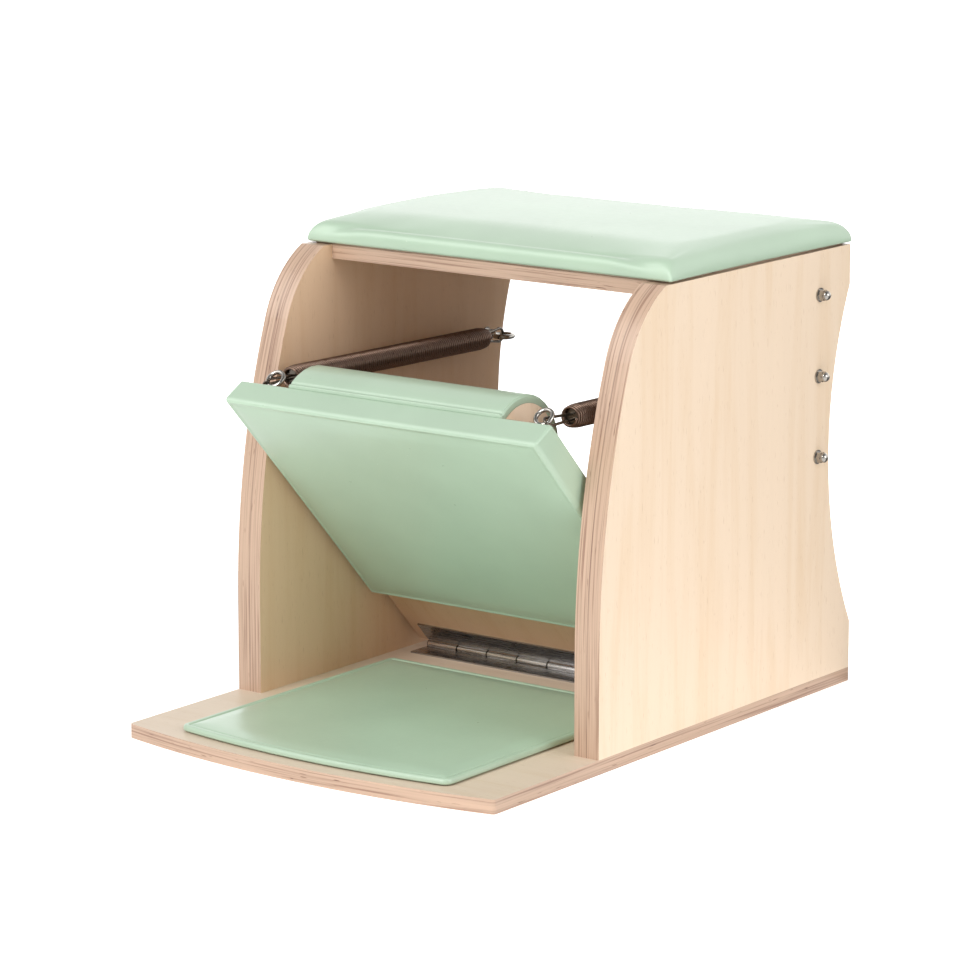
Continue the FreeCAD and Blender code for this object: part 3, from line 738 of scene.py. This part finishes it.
class CHAIR_OT_stage(bpy.types.Operator):
    """Sets up the studio floor, the soft light and the camera"""

    bl_idname = "chair.stage"
    bl_label = "Stage"

    def execute(self, context):
        scene = context.scene
        colours = scene.chair_colours
        scene.view_settings.view_transform = "Standard"
        # The sheet behind the chair is lit from below and throws no light into the chair's open back.
        edge = cad_high.y
        reach = 40.0
        for name, near, far, glow in (("front_floor", -reach, edge, 0.42), ("rear_floor", edge, reach, 0.8)):
            material, tree, shader, place = new_material(name + "_paper")
            grain = add_node(
                tree,
                "ShaderNodeTexNoise",
                {"Vector": place.outputs["Object"], "Scale": 1 / (400 * MM), "Detail": 2.0},
            )
            tone = add_node(
                tree,
                "ShaderNodeValToRGB",
                {"Fac": grain.outputs["Fac"]},
                stops=((0.3, tinted(colours.floor, 0.995)), (0.7, colours.floor)),
            )
            tree.links.new(tone.outputs["Color"], shader.inputs["Base Color"])
            shader.inputs["Roughness"].default_value = 0.9
            shader.inputs["Specular IOR Level"].default_value = 0.1
            shader.inputs["Emission Color"].default_value = (1.0, 1.0, 1.0, 1.0)
            shader.inputs["Emission Strength"].default_value = glow
            corners = [(-reach, near, 0), (reach, near, 0), (reach, far, 0), (-reach, far, 0)]
            mesh = bpy.data.meshes.new(name)
            mesh.from_pydata(corners, [], [(0, 1, 2, 3)])
            mesh.materials.append(material)
            floor = add_object(name, mesh)
            floor.visible_diffuse = name == "front_floor"
            floor.visible_glossy = name == "front_floor"
        world = bpy.data.worlds.new("white_studio")
        world.use_nodes = True
        tree = world.node_tree
        sky = tree.nodes["Background"]
        sky.inputs["Color"].default_value = (1.0, 1.0, 1.0, 1.0)
        # The lit backdrop shows in the gloss under a dimmer ceiling. The light itself comes from the front.
        way = add_node(tree, "ShaderNodeTexCoord")
        axes = add_node(tree, "ShaderNodeSeparateXYZ", {"Vector": way.outputs["Generated"]})
        above = add_node(
            tree,
            "ShaderNodeMapRange",
            {"Value": axes.outputs["Z"], "From Min": 0.0, "From Max": 0.8, "To Min": 0.44, "To Max": 0.62},
        )
        behind = add_node(
            tree,
            "ShaderNodeMapRange",
            {"Value": axes.outputs["Y"], "From Min": -0.1, "From Max": 0.5, "To Min": 1.0, "To Max": 0.5},
        )
        room = add_node(
            tree,
            "ShaderNodeMath",
            {0: above.outputs["Result"], 1: behind.outputs["Result"]},
            operation="MULTIPLY",
        )
        backdrop = add_node(
            tree,
            "ShaderNodeMapRange",
            {"Value": axes.outputs["Y"], "From Min": -0.2, "From Max": 0.6, "To Min": 0.6, "To Max": 1.85},
        )
        rise = add_node(tree, "ShaderNodeMapRange", {"Value": axes.outputs["Z"], "From Min": -1.0})
        ceiling = add_node(
            tree,
            "ShaderNodeValToRGB",
            {"Fac": rise.outputs["Result"]},
            stops=((0.48, grey(0.15)), (0.5, grey(1.0)), (0.7, grey(1.0)), (0.9, grey(0.35))),
        )
        shine = add_node(
            tree,
            "ShaderNodeMath",
            {0: backdrop.outputs["Result"], 1: ceiling.outputs["Color"]},
            operation="MULTIPLY",
        )
        rays = add_node(tree, "ShaderNodeLightPath")
        walls = add_node(
            tree,
            "ShaderNodeMix",
            {
                "Factor": rays.outputs["Is Glossy Ray"],
                "A": room.outputs["Value"],
                "B": shine.outputs["Value"],
            },
        )
        tree.links.new(walls.outputs["Result"], sky.inputs["Strength"])
        scene.world = world
        key = bpy.data.lights.new("front_key", "SUN")
        key.energy = 2.0
        key.angle = math.radians(24)
        lamp = add_object("front_key", key)
        lamp.rotation_euler = Vector((-0.08, -0.8, 0.59)).to_track_quat("Z", "Y").to_euler()
        # The right softbox lights the side panel. The front one only shines in gloss, along rolls, beads
        # and knuckles.
        lamps = (
            ("right_softbox", Vector((3.6, -0.1, 1.9)), 2.2, 58.0, True),
            ("front_softbox", Vector((-1.9, -1.8, 2.4)), 2.0, 34.0, False),
        )
        for name, spot, size, power, lights_all in lamps:
            light = bpy.data.lights.new(name, "AREA")
            light.shape = "SQUARE"
            light.size = size
            light.energy = power
            lamp = add_object(name, light)
            lamp.location = spot
            lamp.rotation_euler = (spot - Vector((0.0, 0.0, 0.3))).to_track_quat("Z", "Y").to_euler()
            lamp.visible_diffuse = lights_all
        lens = bpy.data.cameras.new("camera")
        lens.lens = 156.1
        lens.sensor_width = 36.0
        lens.clip_end = 200.0
        camera = add_object("camera", lens)
        azimuth, elevation, away = math.radians(36.9), math.radians(11.9), 5.1787
        level = math.cos(elevation)
        back = Vector((math.sin(azimuth) * level, -math.cos(azimuth) * level, math.sin(elevation)))
        target = Vector((0.0001, -0.0235, 0.3017))
        camera.location = target + back * away
        camera.rotation_euler = back.to_track_quat("Z", "Y").to_euler()
        scene.camera = camera
        return {"FINISHED"}


class CHAIR_OT_plywood(bpy.types.Operator):
    """Finishes the base, side panels, seat board, backing, pedal board and foot bar as plywood"""

    bl_idname = "chair.plywood"
    bl_label = "Plywood boards"

    def execute(self, context):
        colours = context.scene.chair_colours
        sizes = context.scene.chair_sizes
        sanded = 0.8 * MM
        for side, sign in SIDES.items():
            low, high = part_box(side + "_side_panel")
            middle = (low.x + high.x) / 2
            # The panels' inner faces are painted darker and browner: painted shade inside the chair.
            material = plywood_material(
                side + "_panel_plywood", colours, "Y", "Z", "X", middle=middle, shaded_face=(-sign, "#FFF0E2")
            )
            dress(side + "_side_panel", material, sanded)
        level = plywood_material("seat_plywood", colours, "Y", "X", "Z")
        for name in ("seat_board", "seat_cushion_backing"):
            dress(name, level, sanded)
        dress("seat_dowels", level)
        # The base's upper face is painted darker and a little greyer: painted shade.
        shaded_base_plywood = plywood_material("base_plywood", colours, "Y", "X", "Z", shaded_face=(1, "#ECEDF1"))
        dress("base_board", shaded_base_plywood, sanded)
        # The pedal leans back from flat by its rest angle, and its padded face is bare near the hinge. That
        # face is painted darker and warmer: painted shade under the pedal.
        leaning = plywood_material(
            "pedal_plywood", colours, "X", "Y", "Z", tilt=sizes.pedal_angle, shaded_face=(-1, "#EAD8C8")
        )
        dress("pedal_board", leaning, sanded)
        solid = plywood_material("foot_bar_wood", colours, "Y", "Z", "X")
        dress("foot_bar", solid)
        return {"FINISHED"}


class CHAIR_OT_hardware(bpy.types.Operator):
    """Finishes the hinge, eye bolts, nuts, washers, screws and hooks as metal"""

    bl_idname = "chair.hardware"
    bl_label = "Hinge and hardware"

    def execute(self, context):
        colours = context.scene.chair_colours
        low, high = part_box("hinge_base_leaf")
        knuckles = 9
        # Brushed along its length: streaks 60 mm long and half a millimetre wide, drawn at 1 mm to show.
        # The joints argument also paints the hinge's leaves darker: painted shade.
        stainless = metal_material(
            "brushed_stainless",
            colours.stainless,
            0.27,
            (60 * MM, 1 * MM, 1 * MM),
            joints=(low.x, (high.x - low.x) / knuckles),
        )
        for name in ("hinge_base_leaf", "hinge_pedal_leaf"):
            dress(name, stainless, 0.25 * MM)
        dress("hinge_pin", stainless)
        # Bright zinc plate: clean reflections with a faint cloud of 8 mm.
        zinc = metal_material("bright_zinc", colours.zinc, 0.2, (8 * MM, 8 * MM, 8 * MM))
        for name in ("base", "seat", "hinge_base", "hinge_pedal", "foot_bar"):
            dress(name + "_screws", zinc)
        for name in ("pedal_tee_nuts", "panel_washers", "panel_lock_nuts", "panel_cap_nuts"):
            dress(name, zinc)
        # Bare drawn wire: darker than plate, with short scuffs.
        hook = metal_material("bare_hook_wire", colours.hook, 0.3, (4 * MM, 4 * MM, 4 * MM))
        for side in SIDES:
            for level in ("upper", "middle", "lower"):
                dress(side + "_" + level + "_eye_bolt", zinc)
            dress(side + "_pedal_eye", zinc)
            dress(side + "_spring_front_hook", hook)
            dress(side + "_spring_rear_hook", hook)
        return {"FINISHED"}


class CHAIR_OT_seat_cushion(bpy.types.Operator):
    """Makes the crowned seat cushion with its pinched corners"""

    bl_idname = "chair.seat_cushion"
    bl_label = "Seat cushion"

    def execute(self, context):
        sizes = context.scene.chair_sizes
        low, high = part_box("seat_cushion")
        width, depth = high.x - low.x, high.y - low.y
        crown = high.z - low.z

        def height(x, y, inside):
            from_x, from_y = min(x, width - x), min(y, depth - y)
            # The corners are pinched over 110 mm.
            share = ease(math.hypot(from_x, from_y) / (110 * MM))
            # The cover is drawn unevenly: the left side is fuller, and the rear edge sinks near its middle.
            full = sizes.cushion_puff * ease((0.35 - x / width) / 0.25) * ease((from_y - 30 * MM) / (90 * MM))
            side = sizes.cushion_corner_height
            side += (sizes.cushion_side_height + full - sizes.cushion_corner_height) * share
            sunk = (x / width - 0.42) / 0.24
            dip = sizes.cushion_dip * math.exp(-sunk * sunk - ((depth - y) / (90 * MM)) ** 2)
            # A roll runs along the front and the rear, with a crease behind it. The other sides slope evenly.
            ahead = share * ease(0.5 + (from_x - from_y) / (40 * MM))
            dent = sizes.cushion_crease_depth * ahead * ridge(from_y, sizes.cushion_crease, 5 * MM)
            behind = max(0.0, from_y - 0.95 * sizes.cushion_crease * ahead)
            shoulder = 1.0
            middle = 1.0
            for far, start in ((from_x, from_x), (from_y, behind)):
                shoulder *= 1 - math.exp(-start / sizes.cushion_slope)
                middle *= 1 - math.exp(-far / sizes.cushion_spread)
            rise = (crown - sizes.cushion_crown - side) * shoulder + sizes.cushion_crown * middle
            return side + rise - dent - dip - rolled(inside, sizes.cushion_roll)

        def place(x, y, z):
            x, y = drawn_in(x, y, width, depth, 3 * MM)
            return Vector((low.x + x, low.y + y, low.z + z))

        near = (0, 1.2, 3, 5.5, 8, 10.5, 13, 15, 17, 19, 22, 26, 32, 40, 50, 62)
        rows = pad_rows(width, depth, 4 * MM, height, near)
        roll = sizes.cushion_corner_height - sizes.cushion_roll
        walls = [(-0.6 * MM, roll * 0.6), (0.2 * MM, roll * 0.25), (2.5 * MM, 0.0), (8 * MM, 0.0)]
        mesh, rings = closed_pad("seat_cushion_cover", rows, walls, place)
        cushion = link_piece("seat_cushion_cover", mesh, mint_vinyl(context))
        held = [k for ring in rings[2:] for k in ring]
        for vertex in mesh.vertices:
            from_y = min(vertex.co.y - low.y, high.y - vertex.co.y)
            if abs(from_y - sizes.cushion_crease) < 4 * MM and vertex.co.z > low.z + 0.5 * crown:
                held.append(vertex.index)
        swell(cushion, held, 4 * MM, 4.0)
        smooth_once(cushion)
        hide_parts("seat_cushion")
        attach(cushion, "frame")
        return {"FINISHED"}


class CHAIR_OT_mat(bpy.types.Operator):
    """Makes the thin mat on the base, with its hem"""

    bl_idname = "chair.mat"
    bl_label = "Base mat"

    def execute(self, context):
        sizes = context.scene.chair_sizes
        low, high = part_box("base_mat")
        width, depth = high.x - low.x, high.y - low.y
        tall = high.z - low.z
        bow = 18.4 * MM
        depth -= bow

        def height(x, y, inside):
            groove = 1.7 * MM * ridge(inside, sizes.mat_hem, 1.4 * MM)
            rise = 0.8 * MM * ease((inside - sizes.mat_hem) / (12 * MM))
            return tall - 0.8 * MM + rise - groove - rolled(inside, sizes.mat_roll)

        def place(x, y, z):
            along = 2 * x / width - 1
            forward = bow * (1 - along * along) * (1 - y / depth)
            return Vector((low.x + x, low.y + bow + y - forward, low.z + z))

        near = (0, 0.8, 2, 3.4, 5, 6.6, 7.8, 8.6, 9.4, 10.4, 12, 15, 20, 28, 40, 54)
        rows = pad_rows(width, depth, 10 * MM, height, near)
        # The edge turns under and leaves a thin dark gap above the board.
        turns = ((-0.4, 3.2), (0.3, 2.0), (2.2, 1.4), (4, 1.0), (6, 0.0))
        walls = [(inset * MM, z * MM) for inset, z in turns]
        mesh, rings = closed_pad("base_mat_cover", rows, walls, place)
        mat = link_piece("base_mat_cover", mesh, mint_vinyl(context))
        held = [k for ring in rings[1:] for k in ring]
        # The hem is sewn down.
        held += [vertex.index for vertex in mesh.vertices if vertex.co.z < high.z - 1.2 * MM]
        swell(mat, held, 0.8 * MM, 2.0)
        smooth_once(mat)
        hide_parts("base_mat")
        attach(mat, "frame")
        return {"FINISHED"}


class CHAIR_OT_pedal_pad(bpy.types.Operator):
    """Makes the pedal's pad, whose vinyl is drawn round the board's sides and upper edge"""

    bl_idname = "chair.pedal_pad"
    bl_label = "Pedal pad"

    def execute(self, context):
        sizes = context.scene.chair_sizes
        width = sizes.pedal_width
        depth = sizes.pedal_reach - sizes.pedal_start
        thick = 18.8 * MM

        def height(x, y, inside):
            # A bead stands up along the ridges, with a shallow hollow behind it.
            bead = 0.9 * MM * (ridge(inside, 4.2 * MM, 2.4 * MM) - ridge(inside, 11 * MM, 4 * MM))
            crown = 1.4 * MM * ease(inside / (120 * MM))
            return thick + crown + bead - rolled(inside, sizes.pedal_roll)

        def place(x, y, z):
            # y runs from the pad's lower edge up to the ridge, which stands past the board's upper edge.
            over = BOARD_FACE - z
            reach = (BOARD_BACK - over) / (BOARD_BACK - BOARD_FACE + thick)
            stretch = 1 + sizes.pedal_bevel * min(1.0, reach) / depth
            x, y = drawn_in(x, y, width, depth, 1.2 * MM)
            return pedal_point(sizes, x - width / 2, sizes.pedal_start + y * stretch, over)

        near = (0, 0.7, 1.6, 2.6, 3.6, 4.8, 6.2, 8, 10.5, 14, 19, 27, 40, 60)
        rows = pad_rows(width, depth, 4 * MM, height, near)
        # The vinyl goes round the board's sides and is folded 2 mm over its back. Along the pad's lower edge
        # it ends on the board's face.
        back = BOARD_FACE - BOARD_BACK
        lip = sizes.vinyl_lip
        folds = ((0, 1.6), (0.15, -0.2), (0.8, -0.9), (1.8, -0.8), (2.3, -0.1))
        walls = [(0.0, thick * 0.5), (0.0, 0.0)]
        walls += [(inset * MM, back + z * MM) for inset, z in folds]
        walls += [(lip, back), (lip, 0.0)]
        turns = ((0, 4), (0.2, 2), (0.5, 1), (0.9, 0.4), (1.4, 0.1), (2, 0), (3, 0), (4, 0))
        lower = [(0.0, thick * 0.5)] + [(inset * MM, z * MM) for inset, z in turns]
        mesh, rings = closed_pad(
            "pedal_pad_cover", rows, walls, place, lower, lambda spot: 1 - ease((spot.y - 1 * MM) / (6 * MM))
        )
        pad = link_piece("pedal_pad_cover", mesh, mint_vinyl(context))
        # Only the face swells: the ridges, the outer rows of points, are drawn tight.
        tight_rows = 8
        width_steps, depth_steps = len(rows[0]), len(rows)
        held = [k for ring in rings[1:] for k in ring]
        for j in range(depth_steps):
            for i in range(width_steps):
                if min(i, j, width_steps - 1 - i, depth_steps - 1 - j) < tight_rows:
                    held.append(j * width_steps + i)
        swell(pad, held, 2 * MM, 3.0)
        smooth_once(pad)
        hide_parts("pedal_pad")
        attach(pad, "pedal")
        return {"FINISHED"}


class CHAIR_OT_foot_bar(bpy.types.Operator):
    """Makes the half-round foot bar's padding, with its rolled ends and hem"""

    bl_idname = "chair.foot_bar"
    bl_label = "Foot bar padding"

    def execute(self, context):
        sizes = context.scene.chair_sizes
        half = sizes.bar_length / 2
        outer = sizes.bar_radius
        inner = outer - sizes.bar_padding
        roll = 1.2 * MM
        # The padding's section along X, from one end's inner edge over the top to the other end's. The end
        # panel is sewn to the wrap along a sunk seam, where the wrap starts.
        bottom = half - 0.4 * MM
        wrap = half - 1.9 * MM - roll
        section = [
            (bottom, inner),
            (half, inner + 1.0 * MM),
            (half, outer - 3.0 * MM),
            (half - 0.3 * MM, outer - 2.0 * MM),
            (half - 1.7 * MM, outer - 1.9 * MM),
        ]
        for k in range(5):
            turn = math.radians(90) * k / 4
            section.append((wrap + roll * math.cos(turn), outer - roll + roll * math.sin(turn)))
        ends = len(section)
        steps = 24
        for k in range(1, steps):
            section.append((wrap * (1 - 2 * k / steps), outer))
        section += [(-x, r) for x, r in reversed(section[:ends])]
        for k in range(1, steps):
            section.append((-bottom * (1 - 2 * k / steps), inner))
        near = (0, 0.6, 1.2, 1.9, 2.6, 3.4, 4.3, 5.3, 6.4, 7.6, 9, 11, 14.5, 20)
        points = []
        for reached in edge_steps(math.pi * outer, near):
            turn = reached / outer
            # A hem stands out along both lower edges: tucked under, then a bead, then its sewn line.
            low = min(reached, math.pi * outer - reached)
            hem = -1.4 * MM * ridge(low, 0.0, 1.1 * MM)
            hem += 1.2 * MM * ridge(low, 2.8 * MM, 1.5 * MM)
            hem -= 1.1 * MM * ridge(low, 6.4 * MM, 1.4 * MM)
            for x, r in section:
                share = (r - inner) / (outer - inner)
                grown = r + hem * share
                # The outer skin ends a little above the board.
                lift = 1.2 * MM * share * abs(math.cos(turn))
                over = BOARD_BACK + lift + grown * math.sin(turn)
                points.append(pedal_point(sizes, x, sizes.bar_centre + grown * math.cos(turn), over))
        mesh = tube_mesh("foot_bar_cover", points, len(section))
        cover = link_piece("foot_bar_cover", mesh, mint_vinyl(context))
        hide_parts("foot_bar_padding")
        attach(cover, "pedal")
        return {"FINISHED"}


class CHAIR_OT_springs(bpy.types.Operator):
    """Winds the two close-wound extension springs at their rest length"""

    bl_idname = "chair.springs"
    bl_label = "Extension springs"

    def execute(self, context):
        colours = context.scene.chair_colours
        sizes = context.scene.chair_sizes
        # Oil-tempered wire: brown-black and half glossy, with faint draw marks.
        material = metal_material("oil_tempered_wire", colours.wire, 0.32, (5 * MM, 5 * MM, 5 * MM))
        for side in SIDES:
            start = Vector(JOINTS[side + "_spring_swing"]["pos_m"])
            way = Vector(JOINTS[side + "_spring_stretch"]["axis"]).normalized()
            across = Vector((1, 0, 0))
            up = way.cross(across)
            points = []
            per_turn, round_wire = 24, 8
            total = sizes.coil_turns * per_turn
            wire = sizes.wire_diameter / 2
            for k in range(total + 1):
                along = wire + (sizes.coil_length - 2 * wire) * k / total
                share = min(1.0, along / sizes.coil_taper, (sizes.coil_length - along) / sizes.coil_taper)
                radius = sizes.mouth_radius
                radius += (sizes.coil_radius - sizes.mouth_radius) * share * (2 - share)
                turn = 2 * math.pi * k / per_turn
                out = across * math.cos(turn) + up * math.sin(turn)
                centre = start + way * (sizes.coil_front + along) + out * radius
                for j in range(round_wire):
                    angle = 2 * math.pi * j / round_wire
                    points.append(centre + (out * math.cos(angle) + way * math.sin(angle)) * wire)
            mesh = tube_mesh(side + "_spring_wire", points, round_wire)
            coil = link_piece(side + "_spring_wire", mesh, material)
            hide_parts(side + "_spring_coil")
            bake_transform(coil)
        return {"FINISHED"}


class CHAIR_PT_panel(bpy.types.Panel):
    """Lists the chair's pieces"""

    bl_idname = "CHAIR_PT_panel"
    bl_label = "Pilates chair"
    bl_space_type = "VIEW_3D"
    bl_region_type = "UI"
    bl_category = "Pilates chair"

    def draw(self, context):
        for operator in OPERATORS:
            self.layout.operator(operator.bl_idname)
        for group in (context.scene.chair_colours, context.scene.chair_sizes):
            column = self.layout.column()
            for name in group.__annotations__:
                column.prop(group, name)


OPERATORS = (
    CHAIR_OT_stage,
    CHAIR_OT_plywood,
    CHAIR_OT_hardware,
    CHAIR_OT_seat_cushion,
    CHAIR_OT_mat,
    CHAIR_OT_pedal_pad,
    CHAIR_OT_foot_bar,
    CHAIR_OT_springs,
)
CLASSES = (ChairColours, ChairSizes) + OPERATORS + (CHAIR_PT_panel,)


def register():
    for item in CLASSES:
        bpy.utils.register_class(item)
    bpy.types.Scene.chair_colours = bpy.props.PointerProperty(type=ChairColours)
    bpy.types.Scene.chair_sizes = bpy.props.PointerProperty(type=ChairSizes)


def unregister():
    del bpy.types.Scene.chair_sizes
    del bpy.types.Scene.chair_colours
    for item in reversed(CLASSES):
        bpy.utils.unregister_class(item)


def main():
    register()
    for operator in OPERATORS:
        group, name = operator.bl_idname.split(".")
        getattr(getattr(bpy.ops, group), name)()


if __name__ == "__main__":
    main()
